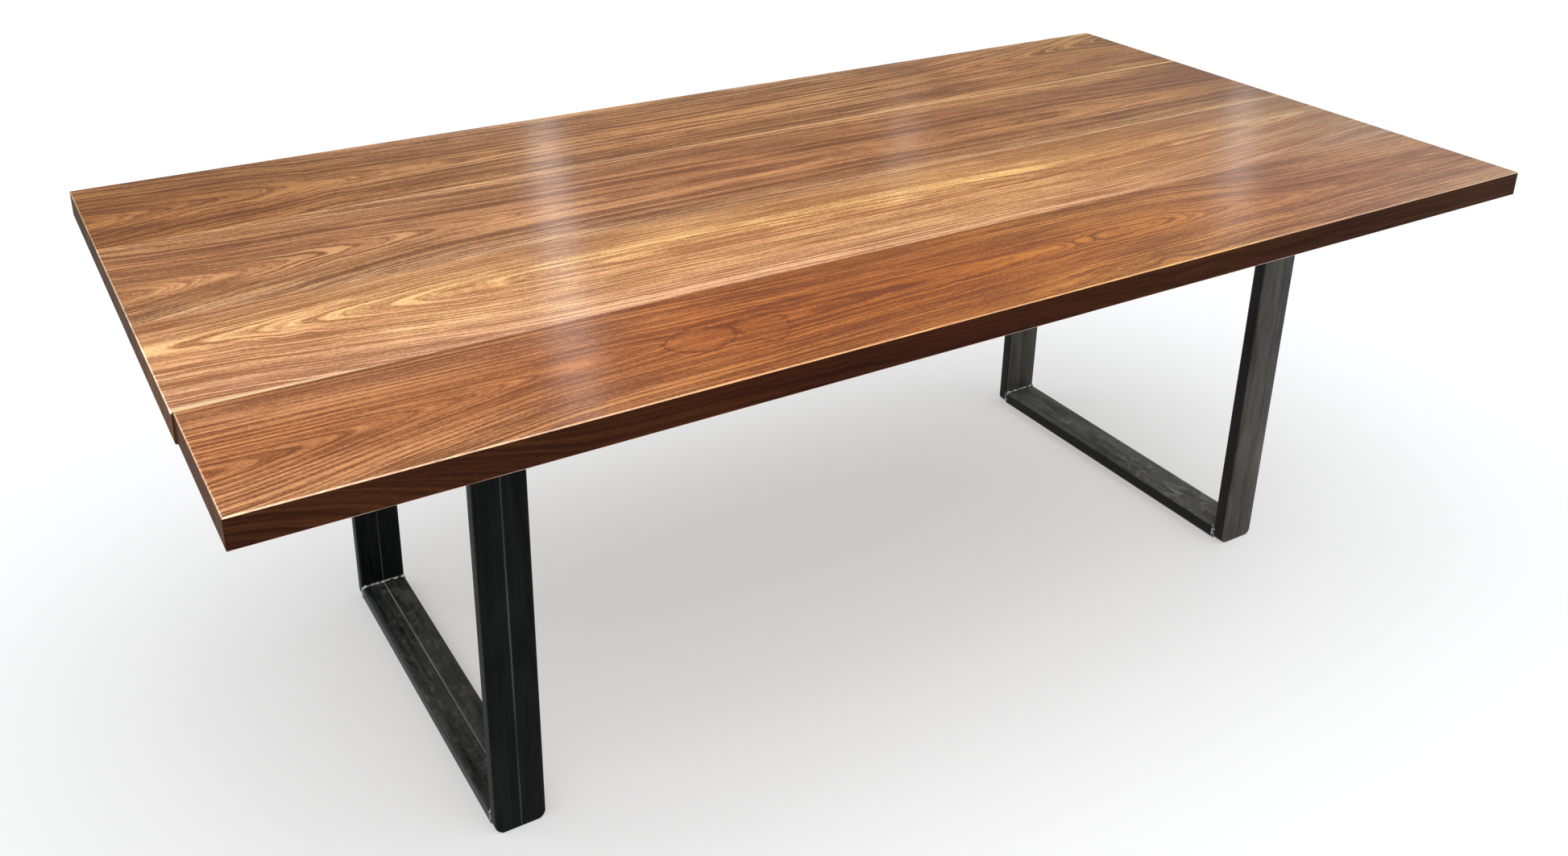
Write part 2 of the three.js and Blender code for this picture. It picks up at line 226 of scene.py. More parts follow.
# How each board was cut from its log, in metres.
# ring: width of a growth ring. contrast: strength of the figure.
# pith: the line across which the rings mirror, as (place along the board, y).
# hollow: how far under the face that line lies; the less, the sharper the tips of the figure.
# depth: how far out in the log the face is on that line, as (place, distance). A tip comes where
# it passes a whole ring.
# knots: swellings of the rings, as (x, y, height, length, width).
# marks: islands, as (x, y, half length, half width, tone of the outline, tone of the middle).
# wild: where the figure is ragged, as (start, end, amount).
# bands: colours from the front joint to the back one, spaced evenly.
# along: what those are multiplied by, as (place, colour). line: the darkest colour.
# sapwood: a pale sliver on the front joint, as (x where it is widest, x where it ends, width,
# strength), or None.
LOGS = {
    "board_front": dict(
        seed=11.0,
        ring=0.008,
        contrast=1.18,
        hollow=0.019,
        depth=((0.0, 0.02), (0.05, 0.032), (0.104, 0.048), (0.148, 0.056), (0.187, 0.064),
               (0.346, 0.072), (0.42, 0.08), (0.669, 0.088), (0.72, 0.097), (0.79, 0.112),
               (0.83, 0.12), (1.0, 0.127)),
        pith=((0.0, -0.447), (0.1, -0.42), (0.2, -0.4), (0.42, -0.412), (0.7, -0.395),
              (0.8, -0.428), (1.0, -0.435)),
        knots=((-0.452, -0.414, 0.007, 0.085, 0.045), (0.204, -0.402, 0.008, 0.03, 0.018),
               (0.15, -0.513, 0.012, 0.036, 0.022), (0.268, -0.513, 0.012, 0.036, 0.022),
               (0.452, -0.385, 0.007, 0.04, 0.026), (-0.3, -0.375, 0.006, 0.03, 0.018)),
        marks=((-0.45, -0.414, 0.048, 0.031, 1.1, -0.2),
               (-0.365, -0.422, 0.036, 0.04, 0.6, 0.05),
               (-0.3, -0.368, 0.055, 0.008, 0.35, 0.8),
               (-0.262, -0.412, 0.03, 0.009, 0.3, 0.5),
               (0.206, -0.402, 0.02, 0.012, 0.95, -0.6),
               (0.15, -0.502, 0.023, 0.011, 0.75, 0.35),
               (0.275, -0.502, 0.023, 0.011, 0.75, 0.35)),
        wild=(-0.45, 0.65, 0.003),
        bands=((192, 128, 82), (196, 128, 80), (186, 116, 68), (186, 114, 66), (186, 116, 68),
               (196, 128, 82), (170, 108, 68)),
        along=((0.0, (247, 250, 255)), (0.14, (243, 245, 244)), (0.3, (232, 207, 160)),
               (0.48, (229, 203, 136)), (0.66, (240, 236, 176)), (0.8, (219, 217, 206)),
               (1.0, (228, 252, 255))),
        line=(106, 50, 12),
        sapwood=None,
    ),
    "board_mid_front": dict(
        seed=23.0,
        ring=0.0072,
        contrast=1.12,
        hollow=0.022,
        depth=((0.0, 0.068), (0.05, 0.061), (0.075, 0.053), (0.11, 0.045), (0.14, 0.036),
               (0.17, 0.027), (0.22, 0.016), (0.4, 0.014), (0.6, 0.02), (0.72, 0.026),
               (0.85, 0.022), (1.0, 0.036)),
        pith=((0.0, -0.112), (0.08, -0.118), (0.2, -0.128), (0.6, -0.14), (0.72, -0.16),
              (0.92, -0.125), (1.0, -0.115)),
        knots=((-0.64, -0.127, 0.006, 0.07, 0.012), (0.52, -0.163, 0.0085, 0.12, 0.016),
               (-0.95, -0.14, 0.005, 0.02, 0.014), (-0.87, -0.145, 0.005, 0.02, 0.014)),
        marks=((-0.64, -0.128, 0.075, 0.01, 0.35, -0.15),
               (0.52, -0.163, 0.11, 0.012, 0.4, 0.05)),
        wild=(-1.2, -0.7, 0.0032),
        bands=((226, 166, 128), (214, 156, 112), (226, 168, 116), (218, 156, 106), (246, 188, 126),
               (204, 148, 98), (190, 134, 92)),
        along=((0.0, (243, 237, 240)), (0.16, (254, 254, 252)), (0.3, (249, 244, 234)),
               (0.6, (248, 246, 226)), (0.78, (218, 206, 178)), (1.0, (178, 184, 192))),
        line=(140, 78, 32),
        sapwood=(-1.067, -0.8, 0.013, 0.95),
    ),
    "board_mid_back": dict(
        seed=37.0,
        ring=0.007,
        contrast=1.22,
        hollow=0.026,
        depth=((0.0, 0.02), (0.033, 0.036), (0.061, 0.043), (0.1, 0.056), (0.13, 0.063),
               (0.16, 0.071), (0.21, 0.085), (0.32, 0.092), (0.6, 0.099), (0.76, 0.09),
               (0.88, 0.1), (1.0, 0.108)),
        pith=((0.0, 0.072), (0.1, 0.088), (0.18, 0.108), (0.4, 0.1), (0.7, 0.098),
              (1.0, 0.085)),
        knots=((0.69, 0.093, 0.007, 0.15, 0.02), (-0.8, 0.07, 0.004, 0.05, 0.012)),
        marks=((0.69, 0.093, 0.19, 0.012, 0.35, -0.15),),
        wild=(-1.2, -0.66, 0.004),
        bands=((206, 156, 116), (168, 116, 78), (192, 134, 92), (178, 122, 82), (170, 114, 76),
               (176, 122, 82), (206, 150, 106)),
        along=((0.0, (255, 248, 232)), (0.2, (252, 250, 240)), (0.45, (246, 232, 211)),
               (0.65, (243, 232, 204)), (0.85, (234, 228, 194)), (1.0, (180, 160, 106))),
        line=(98, 52, 18),
        sapwood=(1.067, -0.85, 0.005, 0.5),
    ),
    "board_back": dict(
        seed=53.0,
        ring=0.0086,
        contrast=1.38,
        hollow=0.03,
        depth=((0.0, 0.026), (0.04, 0.036), (0.075, 0.046), (0.12, 0.055), (0.14, 0.063),
               (0.16, 0.072), (0.25, 0.082), (0.4, 0.088), (0.75, 0.086), (0.88, 0.072),
               (0.94, 0.056), (1.0, 0.036)),
        pith=((0.0, 0.372), (0.1, 0.388), (0.3, 0.38), (0.7, 0.4), (0.9, 0.45),
              (1.0, 0.475)),
        knots=((-0.985, 0.33, 0.011, 0.05, 0.022), (-0.9, 0.355, 0.011, 0.06, 0.02),
               (-0.8, 0.375, 0.008, 0.05, 0.02)),
        marks=((-0.985, 0.32, 0.036, 0.012, 0.3, 0.45),),
        wild=(-1.2, -0.55, 0.0055),
        bands=((196, 140, 94), (166, 112, 70), (190, 134, 90), (170, 118, 76), (168, 116, 76),
               (178, 128, 88), (200, 150, 112)),
        along=((0.0, (222, 198, 155)), (0.1, (224, 206, 170)), (0.28, (249, 245, 236)),
               (0.45, (252, 242, 222)), (0.65, (255, 255, 240)), (0.8, (250, 237, 210)),
               (1.0, (237, 234, 189))),
        line=(92, 48, 12),
        sapwood=(1.067, -1.0, 0.007, 0.6),
    ),
}
SAPWOOD = (250, 214, 160)
LIGHTER = (0.62, 0.54, 0.50)  # the base colour over this is the lightest streak
DEEPEST = 0.15  # the distance in metres that white stands for in a depth ramp
FINE_RING = 0.0031
PORE_LENGTH = 0.012
PORE_WIDTH = 0.0006
PORE_STRENGTH = 0.34
PORE_DARKENING = 0.45
KNOT_DEPTH = 0.06
WILD_FADE = 0.1
OUTLINE_WIDTH = 0.060  # of an island, as a part of its half size
EDGE_SLANT = 0.8  # how fast the rings climb on a sawn edge, so that its streaks run along it

# Waves per metre of the noise behind each feature, along the grain and across it: first those
# that lie in the solid wood or on its face, and then those that follow the rings.
SWAY = 3.0
SWAY_AMOUNT = 0.006  # in metres, as for the two warps
RAGGED = (22.0, 42.0)
BROAD_WARP = (3.2, 13.0)
BROAD_WARP_AMOUNT = 0.0026
FINE_WARP = (30.0, 90.0)
FINE_WARP_AMOUNT = 0.0006
ISLAND_WOBBLE = (24.0, 30.0)
ISLAND_BREAKS = (34.0, 50.0)
FIBRE = (24.0, 560.0)
FLECK = (230.0, 800.0)
CLOUD = (5.0, 24.0)
LINE_BREAKS = (9.0, 60.0)
FINE_WAVER = (4.0, 130.0)
BROAD_STREAK = (1.3, 26.0)
MIDDLE_STREAK = (2.6, 105.0)
NARROW_STREAK = (5.0, 250.0)
HAIR = (2.2, 560.0)

# A ring's edge: the dark line's width, how much of it is lost where the rings lie flat, how much
# slower it fades on the ring's own side, and the place and width of the pale glow past it, all as
# parts of a ring.
LINE_WIDTH = 0.15
LINE_NARROWING = 0.115
LINE_TAIL = 0.40
GLOW_PLACE = 0.24
GLOW_WIDTH = 0.11

# How far each feature darkens the wood, or lightens it where the number is negative.
TONES = dict(shade=0.22, line=0.95, glow=-0.60, fine=1.25, broad=0.50, middle=0.60, narrow=1.50,
             hairs=0.60, cloud=0.70, fibre=0.85, fleck=1.05)
TONE_SHIFT = 0.05
ISLAND_CALM = 0.6  # how much of the figure is missing inside an island
DARKEST_HELD_BACK = 0.25


def track(g, along, stops, low, span):
    """A length in metres that changes along the board, from (place, length) stops."""
    greys = [(place, (length - low) / span) for place, length in stops]
    return g.ramp(along, greys, "B_SPLINE") * span + low


def grain(g, waves, x, y, z, seed, **settings):
    """Noise in solid wood, drawn out along the grain."""
    along, across = waves
    return g.noise(x * along, y * across, z * across + seed, **settings)


def streak(g, waves, x, offset, seed, **settings):
    """Noise drawn out along the grain, by one offset across it: y, or the distance in the log."""
    along, across = waves
    return g.noise(x * along, offset * across, seed, **settings)


def ring_distance(g, x, y, z, board):
    """How far out in its log a point lies, and how flat the rings lie to the face there: 1 where
    they are level with it, and near 0 where they meet it squarely."""
    log = LOGS[board]
    low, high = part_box(board)
    seed = log["seed"]
    along = (x - low.x) / (high.x - low.x)
    rise = track(g, along, log["depth"], 0.0, DEEPEST) - log["hollow"]
    pith = track(g, along, log["pith"], low.y, high.y - low.y)
    sway = g.noise(x * SWAY, seed, 0.3, detail=2.0) * SWAY_AMOUNT
    across = y - pith + sway
    under = (z - high.z) + log["hollow"]
    radius = g.math("SQRT", across * across + under * under)
    flatness = g.math("ABSOLUTE", under) / radius
    distance = radius + rise
    for knot_x, knot_y, height, length, width in log["knots"]:
        dx = (x - knot_x) / length
        dy = (y - knot_y) / width
        dz = (z - high.z) / KNOT_DEPTH
        swell = g.math("EXPONENT", (dx * dx + dy * dy + dz * dz) * -1.0)
        distance = distance + swell * height
    wild_start, wild_end, wild_amount = log["wild"]
    wild = g.smooth(x, wild_start - WILD_FADE, wild_start + WILD_FADE)
    wild = wild - g.smooth(x, wild_end - WILD_FADE, wild_end + WILD_FADE)
    ragged = grain(g, RAGGED, x, y, z, seed, detail=2.0, roughness=0.6) * wild_amount
    broad = grain(g, BROAD_WARP, x, y, z, seed, detail=1.0) * BROAD_WARP_AMOUNT
    fine = grain(g, FINE_WARP, x, y, z, seed, detail=1.0) * FINE_WARP_AMOUNT
    return distance + broad + fine + ragged * wild, flatness


def marks(g, x, y, board):
    """Islands in the figure, each with a dark outline and a paler or darker middle: the tone that
    they add, and how far a point lies inside one."""
    tone = inside = x * 0.0
    wobble = streak(g, ISLAND_WOBBLE, x, y, 4.0, detail=2.0) * 0.30
    broken = g.smooth(streak(g, ISLAND_BREAKS, x, y, 8.0, detail=1.0), -0.70, 0.20)
    for mark_x, mark_y, half_length, half_width, outline, middle in LOGS[board]["marks"]:
        dx = (x - mark_x) / half_length
        dy = (y - mark_y) / half_width
        out = g.math("SQRT", dx * dx + dy * dy) + wobble
        rim = (out - 1.0) / OUTLINE_WIDTH
        within = 1.0 - g.smooth(out, 0.80, 1.0)
        tone = tone + g.math("EXPONENT", rim * rim * -1.0) * broken * outline
        tone = tone + (1.0 - g.smooth(out, 0.5, 1.0)) * middle
        inside = inside + within
    return tone, inside.clamp()


GRAIN_RELIEF = 0.00010
ARRIS_HIGHLIGHT_FADES = (0.0, 0.7)  # the x range over which the painted highlight on the arrises fades
# how much of the arrises' painted highlight is gone past that range
ARRIS_HIGHLIGHT_LOST = 0.55
COAT_ROUGHNESS = 0.135
COAT_IOR = 1.42
# How each face of a board is finished. The tints are painted light: on the sawn edges a painted
# shade, on the ends a painted shade over the end grain's own darker colour, and on the arrises a
# painted highlight.
FINISHES_AND_PAINTED_LIGHT = {
    "face": dict(tint=None, contrast=1.0, roughness=0.40, coat=0.62, specular=0.18),
    "edge": dict(tint=(0.128, 0.084, 0.054), contrast=0.55, roughness=0.60, coat=0.0, specular=0.06),
    "end": dict(tint=(0.21, 0.155, 0.060), contrast=0.8, roughness=0.60, coat=0.0, specular=0.06),
    "arris": dict(tint=(2.0, 2.9, 4.2), contrast=0.4, roughness=0.30, coat=1.0, specular=0.5),
}


def walnut(board, part):
    """Solid walnut: rings, streaks, pores and colour drift. The faces have a clear satin coat,
    the sawn edges are duller and tinted darker as painted shade, the ends the same over the end
    grain's own darker colour, and the arrises are tinted brighter as a painted highlight."""
    log = LOGS[board]
    finish = FINISHES_AND_PAINTED_LIGHT[part]
    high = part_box(board)[1]
    seed = log["seed"]
    g = Graph(f"walnut_{board}_{part}")
    x, y, z = g.place()
    distance, flatness = ring_distance(g, x, y, z, board)
    if part == "edge":
        distance = distance + (z - high.z) * EDGE_SLANT
    fibre = grain(g, FIBRE, x, y, z, 0.0, detail=2.0, roughness=0.6)
    pores = g.noise(x / PORE_LENGTH, y / PORE_WIDTH, z / PORE_WIDTH + seed, detail=1.0)
    pores = g.smooth(pores, 0.18, 0.55)
    line, tone = figure(g, x, distance, flatness, log)
    cloud = grain(g, CLOUD, x, y, z, seed, detail=2.0)
    fleck = grain(g, FLECK, x, y, z, seed, detail=1.0)
    tone = tone + cloud * TONES["cloud"]
    mark_tone, inside = marks(g, x, y, board)
    tone = tone * (1.0 - inside * ISLAND_CALM) + fibre * TONES["fibre"] + fleck * TONES["fleck"]
    tone = (tone + mark_tone + TONE_SHIFT) * (log["contrast"] * finish["contrast"])
    darkness = tone.clamp()
    darkness = darkness * (1.0 - darkness * DARKEST_HELD_BACK)

    base = board_colour(g, x, y, board)
    dark = srgb(*log["line"])
    light = g.mix(1.0, base, LIGHTER, "DIVIDE")
    colour = g.mix(darkness, base, dark)
    colour = g.mix((tone * -1.0).clamp(), colour, light)
    if log["sapwood"]:
        colour = with_sapwood(g, x, y, board, fibre, colour)
    pore_dark = tuple(channel * PORE_DARKENING for channel in dark)
    colour = g.mix(pores * PORE_STRENGTH, colour, pore_dark)
    if part == "arris":
        # The arrises carry a painted highlight: their colour is multiplied brighter, less so along
        # the board.
        arris_highlight = 1.0 - g.smooth(x, *ARRIS_HIGHLIGHT_FADES) * ARRIS_HIGHLIGHT_LOST
        colour = g.mix(arris_highlight, colour, g.mix(1.0, colour, finish["tint"], "MULTIPLY"))
    # The edges and ends: their tint darkens them as painted shade.
    elif finish["tint"]:
        colour = g.mix(1.0, colour, finish["tint"], "MULTIPLY")

    g.bump(fibre * 0.25 - pores * 0.5 - line * 0.2 + 0.6, GRAIN_RELIEF)
    g.finish(base_color=colour, roughness=darkness * 0.10 + finish["roughness"])
    g.shader.inputs["Coat Weight"].default_value = finish["coat"]
    g.shader.inputs["Coat Roughness"].default_value = COAT_ROUGHNESS
    g.shader.inputs["Coat IOR"].default_value = COAT_IOR
    g.shader.inputs["Specular IOR Level"].default_value = finish["specular"]
    return g.material


def figure(g, x, distance, flatness, log):
    """The lines on the rings' edges, and the tone of rings and streaks together."""
    seed = log["seed"]
    # Growth rings: a slow darkening towards each ring's edge, a line on the edge, a glow past it.
    rings = distance / log["ring"] + g.noise(distance * 55.0, seed, 0.0, detail=1.0) * 0.5
    number = g.math("FLOOR", rings)
    within = g.math("FRACT", rings)
    strength = g.random_of(number + seed)
    bold = strength * strength * 0.7 + 0.3
    shade = g.smooth(within, 0.15, 1.0) * bold
    line_width = LINE_WIDTH - flatness * flatness * LINE_NARROWING
    from_edge = g.math("MINIMUM", within, (1.0 - within) * LINE_TAIL) / line_width
    line = g.math("EXPONENT", from_edge * from_edge * -1.0)
    line = line * bold * g.smooth(streak(g, LINE_BREAKS, x, distance, seed + 9.0), -0.7, 0.3)
    past_edge = (within - GLOW_PLACE) / GLOW_WIDTH
    glow = g.math("EXPONENT", past_edge * past_edge * -1.0) * bold

    # Finer bands inside the rings, some lighter and some darker.
    fine_rings = distance / FINE_RING + streak(g, FINE_WAVER, x, distance, seed) * 1.6
    fine_number = g.math("FLOOR", fine_rings)
    fine_tone = g.random_of(fine_number + seed * 3.0) - 0.5
    fine_within = g.math("FRACT", fine_rings)
    fine_edge = g.smooth(fine_within, 0.0, 0.22) - g.smooth(fine_within, 0.78, 1.0)
    hair = streak(g, HAIR, x, distance, seed + 7.0, detail=1.0)
    hairs = g.smooth(hair, 0.22, 0.55) - g.smooth(hair * -1.0, 0.22, 0.55)

    # Streaks of three widths, fainter where the rings lie flat.
    calm = 1.0 - flatness * flatness * 0.75
    broad = streak(g, BROAD_STREAK, x, distance, seed + 1.0, detail=1.0) * calm
    middle = streak(g, MIDDLE_STREAK, x, distance, seed + 3.0, detail=1.0) * calm
    narrow = streak(g, NARROW_STREAK, x, distance, seed + 5.0, detail=2.0, roughness=0.7)

    tone = shade * calm * TONES["shade"] + line * TONES["line"] + glow * TONES["glow"]
    tone = tone + fine_tone * fine_edge * TONES["fine"] + broad * TONES["broad"]
    tone = tone + middle * TONES["middle"] + narrow * TONES["narrow"] + hairs * TONES["hairs"]
    return line, tone


def board_colour(g, x, y, board):
    """Bands of colour across the board, and slower changes along it."""
    log = LOGS[board]
    low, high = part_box(board)
    wander = g.noise(x * 2.0, y * 3.0, log["seed"] + 2.0, detail=1.0) * 0.05
    last = len(log["bands"]) - 1
    bands = [(i / last, srgb(*colour)) for i, colour in enumerate(log["bands"])]
    base = g.ramp((y - low.y) / (high.y - low.y) + wander, bands)
    along = [(place, srgb(*colour, albedo=1.0)) for place, colour in log["along"]]
    return g.mix(1.0, base, g.ramp((x - low.x) / (high.x - low.x), along), "MULTIPLY")


def with_sapwood(g, x, y, board, fibre, colour):
    """A pale sliver along the front joint, with its edge frayed by the fibres."""
    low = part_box(board)[0]
    widest, end, width, strength = LOGS[board]["sapwood"]
    reach = ((x - end) / (widest - end)).clamp() * width + 0.0002
    sliver = 1.0 - g.smooth((y - low.y) / reach + fibre * 0.3, 0.5, 1.1)
    return g.mix(sliver * strength, colour, srgb(*SAPWOOD))


def finish_and_light_of(face):
    """Which finish a face of a board gets, from the way it faces: the edge and end finishes carry
    painted shade in their tint, the arris finish a painted highlight.
    """
    if max(abs(part) for part in face.normal) < 0.9:
        return "arris"
    if abs(face.normal.z) > 0.1:
        return "face"
    return "end" if abs(face.normal.x) > 0.7 else "edge"


def board_piece(name):
    """A board with its glued faces closed against its neighbours, and each face given the finish and
    painted light for the way it faces.
    """
    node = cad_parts[name]
    low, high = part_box(name)
    bm = bmesh.new()
    bm.from_mesh(node.data)
    bmesh.ops.remove_doubles(bm, verts=bm.verts, dist=1e-6)
    whole_low, whole_high = CAD_BOUNDS
    glued_front = low.y - whole_low.y > 0.001
    glued_back = whole_high.y - high.y > 0.001
    for vert in bm.verts:
        if glued_front and abs(vert.co.y - low.y) < SAME_PLACE:
            vert.co.y -= GLUE_GAP / 2
        if glued_back and abs(vert.co.y - high.y) < SAME_PLACE:
            vert.co.y += GLUE_GAP / 2
    bmesh.ops.dissolve_limit(bm, angle_limit=math.radians(1), verts=bm.verts, edges=bm.edges)
    bm.normal_update()
    parts = list(FINISHES_AND_PAINTED_LIGHT)
    for face in bm.faces:
        face.material_index = parts.index(finish_and_light_of(face))
    mesh = bpy.data.meshes.new(name + "_solid")
    bm.to_mesh(mesh)
    bm.free()
    piece = bpy.data.objects.new(name + "_solid", mesh)
    bpy.context.scene.collection.objects.link(piece)
    for part in parts:
        mesh.materials.append(walnut(name, part))
    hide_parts(name)
    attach(piece, "root")


# ---- Steel --------------------------------------------------------------------------------

SEAM_HALF_WIDTH = 0.0007
SEAM_HEIGHT = 0.00028
SPECK_COLOUR = (0.004, 0.004, 0.004)
SCALE_RELIEF = 0.00018
# Waves per metre of the noise on the steel, along the tube and across it.
DRAWN_STREAK = (4.0, 210.0)
BLOTCH = (8.0, 30.0)
SPECK = (300.0, 420.0)
HAZE = (26.0, 42.0)


def on_tube(g, waves, run, x, side, **settings):
    """Noise on steel that runs along a tube."""
    along, across = waves
    return g.noise(run * along, x * across, side * across, **settings)


def mill_scale_and_painted_light(name, along, dark, pale, gloss, flank=0.3, seam_x=None, seam_bright=True, bloom=0.0):
    """Hot-rolled steel with its scale on: streaks along the tube, blotches, specks and scratches.
    The sides that face along X are darkened as painted shade and keep only the part flank of their
    colour, the mill's seam runs at seam_x, as a bright line (its paler scarf with a painted glint)
    or as dark dashes, and bloom is how much pale haze lies in patches."""
    g = Graph(name)
    x, y, z = g.place()
    run, side = (z, y) if along == "z" else (y, z)
    drawn = on_tube(g, DRAWN_STREAK, run, x, side, detail=4.0, roughness=0.65)
    cloud = on_tube(g, BLOTCH, run, x, side, detail=4.0, roughness=0.62, distortion=0.8)
    speck = on_tube(g, SPECK, run, x, side, detail=2.0)
    scratch = g.noise(run * 70.0 + x * 40.0, x * 1400.0, side * 1400.0 + run * 90.0, detail=1.0)
    scratch = g.smooth(scratch, 0.42, 0.60)
    mottle = (drawn * 0.75 + cloud * 0.95 + 0.42).clamp()
    colour = g.mix(mottle, dark, pale)
    brighter = tuple(min(1.0, channel * 2.6 + 0.015) for channel in pale)
    colour = g.mix(scratch * 0.35, colour, brighter)
    if bloom:
        haze = on_tube(g, HAZE, run, x, side, detail=5.0, roughness=0.7, distortion=1.4)
        where = g.smooth(g.noise(run * 3.0, x * 9.0, 5.0, detail=1.0), -0.25, 0.35)
        colour = g.mix(g.smooth(haze, -0.05, 0.5) * where * bloom, colour, brighter)
    colour = g.mix(g.smooth(speck, 0.35, 0.70) * 0.4, colour, SPECK_COLOUR)
    if seam_x is not None:
        off = (x - seam_x) / SEAM_HALF_WIDTH
        seam = g.math("EXPONENT", off * off * -0.5)
        # The bright seam line is the scarf's paler scale with a painted glint over it.
        if seam_bright:
            glint = (drawn * 0.9 + g.noise(run * 5.0, 3.0, 0.0) * 0.7 + 0.65).clamp()
            colour = g.mix(seam * glint, colour, tuple(channel * 1.8 for channel in brighter))
        else:
            dashes = g.smooth(g.noise(run * 40.0, 7.0, x * 200.0, detail=2.0), -0.1, 0.25)
            colour = g.mix(seam * dashes * 0.85, colour, tuple(channel * 0.4 for channel in dark))
    # Painted shade: the sides that face along X are darkened towards black.
    sideways = g.math("ABSOLUTE", g.facing_x())
    colour = g.mix(g.smooth(sideways, 0.6, 0.95) * (1.0 - flank), colour, (0.0, 0.0, 0.0))
    relief = drawn * 0.30 + cloud * 0.30 + speck * 0.10 - scratch * 0.2 + 0.5
    g.bump(relief, SCALE_RELIEF)
    g.finish(base_color=colour, roughness=mottle * 0.16 + 0.34)
    g.shader.inputs["Specular IOR Level"].default_value = gloss
    return g.material


BARE_WELD = (0.50, 0.53, 0.54)
WELD_SOOT = (0.030, 0.033, 0.037)
WELD_RELIEF = 0.00025
PLATING_RELIEF = 0.00008


def weld_metal():
    """Weld metal, bare in patches and sooty in between."""
    g = Graph("weld_metal")
    x, y, z = g.place()
    grit = g.noise(x * 700.0, y * 700.0, z * 700.0, detail=3.0)
    soot = g.smooth(g.noise(x * 240.0, y * 240.0, z * 240.0, detail=3.0), -0.35, 0.20)
    colour = g.mix(soot, BARE_WELD, WELD_SOOT)
    g.bump(grit * 0.5 + 0.5, WELD_RELIEF)
    return g.finish(base_color=colour, metallic=0.9, roughness=grit * 0.12 + 0.32)


def plated(name, colour):
    """Plated or turned metal with a fine grit."""
    g = Graph(name)
    x, y, z = g.place()
    grit = g.noise(x * 900.0, y * 900.0, z * 300.0, detail=2.0)
    shade = tuple(channel * 0.62 for channel in colour)
    g.bump(grit * 0.5 + 0.5, PLATING_RELIEF)
    return g.finish(
        base_color=g.mix((grit * 0.5 + 0.5).clamp(), shade, colour),
        metallic=0.95,
        roughness=grit * 0.10 + 0.34,
    )


# ---- Meshes -------------------------------------------------------------------------------


def make_piece(name, points, faces, material, smooth=True):
    mesh = bpy.data.meshes.new(name)
    mesh.from_pydata(points, [], faces)
    mesh.validate()
    mesh.materials.append(material)
    if smooth:
        mesh.shade_smooth()
    piece = bpy.data.objects.new(name, mesh)
    bpy.context.scene.collection.objects.link(piece)
    return piece


def stand_for(piece, node):
    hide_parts(node)
    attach(piece, "root")
    return piece


def lofted(rings, capped=True):
    """Points and faces of a skin over closed rings that all have the same number of points."""
    count = len(rings[0])
    faces = []
    for ring in range(len(rings) - 1):
        for i in range(count):
            a = ring * count + i
            b = ring * count + (i + 1) % count
            faces.append((a, b, b + count, a + count))
    if capped:
        faces.append(tuple(reversed(range(count))))
        faces.append(tuple((len(rings) - 1) * count + i for i in range(count)))
    return [point for ring in rings for point in ring], faces


CORNER_FACETS = 7
# The seam's ridge, as (place in half widths, part of its height).
SEAM_PROFILE = ((2.2, 0.0), (1.0, 0.0), (0.35, 1.0), (-0.35, 1.0), (-1.0, 0.0), (-2.2, 0.0))


def tube_outline(half_wide, half_narrow, corner, seam=True):
    """Points round a tube, wide along the first axis, with the mill's seam on the +second face."""
    outline = []
    for centre_u, centre_v, start in (
        (half_wide - corner, half_narrow - corner, 0.0),
        (-half_wide + corner, half_narrow - corner, 0.5),
        (-half_wide + corner, -half_narrow + corner, 1.0),
        (half_wide - corner, -half_narrow + corner, 1.5),
    ):
        if seam and start == 0.5:
            for step, lift in SEAM_PROFILE:
                outline.append((step * SEAM_HALF_WIDTH, half_narrow + lift * SEAM_HEIGHT))
        for i in range(CORNER_FACETS + 1):
            angle = math.pi * (start + 0.5 * i / CORNER_FACETS)
            u = centre_u + corner * math.cos(angle)
            v = centre_v + corner * math.sin(angle)
            outline.append((u, v))
    return outline


LOOP_SPACING = 0.018
WAVER = 0.00018  # how far a rolled face wanders from flat
WAVER_AROUND = 30  # its waves per metre
WAVER_ALONG = 6
WAVER_SHIFT = 9  # sets the two frames apart in the noise


def tube_piece(node, along, seam_side, material):
    """A length of rectangular tube along Z (a leg) or Y (a rail)."""
    low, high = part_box(node)
    centre = (low + high) / 2
    half = (high - low) / 2
    half_narrow = half.y if along == "z" else half.z
    run_low, run_high = (low.z, high.z) if along == "z" else (low.y, high.y)
    run_low -= GLUE_GAP
    run_high += GLUE_GAP
    outline = tube_outline(half.x, half_narrow, TUBE_CORNER)
    loops = max(2, round((run_high - run_low) / LOOP_SPACING))
    rings = []
    for loop in range(loops + 1):
        run = run_low + (run_high - run_low) * loop / loops
        ring = []
        for u, v in outline:
            length = run * WAVER_ALONG + low.x * WAVER_SHIFT
            waver = WAVER * noise.noise(Vector((u * WAVER_AROUND, v * WAVER_AROUND, length)))
            u_out = u * (1 + waver / half.x)
            v_out = v * (1 + waver / half_narrow) * seam_side
            if along == "z":
                ring.append((centre.x + u_out, centre.y + v_out, run))
            else:
                ring.append((centre.x + u_out, run, centre.z + v_out))
        rings.append(ring)
    points, faces = lofted(rings)
    if (along == "y") == (seam_side > 0):
        faces = [tuple(reversed(face)) for face in faces]
    piece = make_piece(node + "_steel", points, faces, material)
    sharpen(piece)
    return stand_for(piece, node)


def sharpen(piece, angle=40):
    """Keeps edges sharper than an angle crisp under smooth shading."""
    mesh = piece.data
    bm = bmesh.new()
    bm.from_mesh(mesh)
    limit = math.radians(angle)
    for edge in bm.edges:
        normals = [face.normal for face in edge.link_faces]
        edge.smooth = len(normals) == 2 and normals[0].angle(normals[1], 0) < limit
    bm.to_mesh(mesh)
    bm.free()


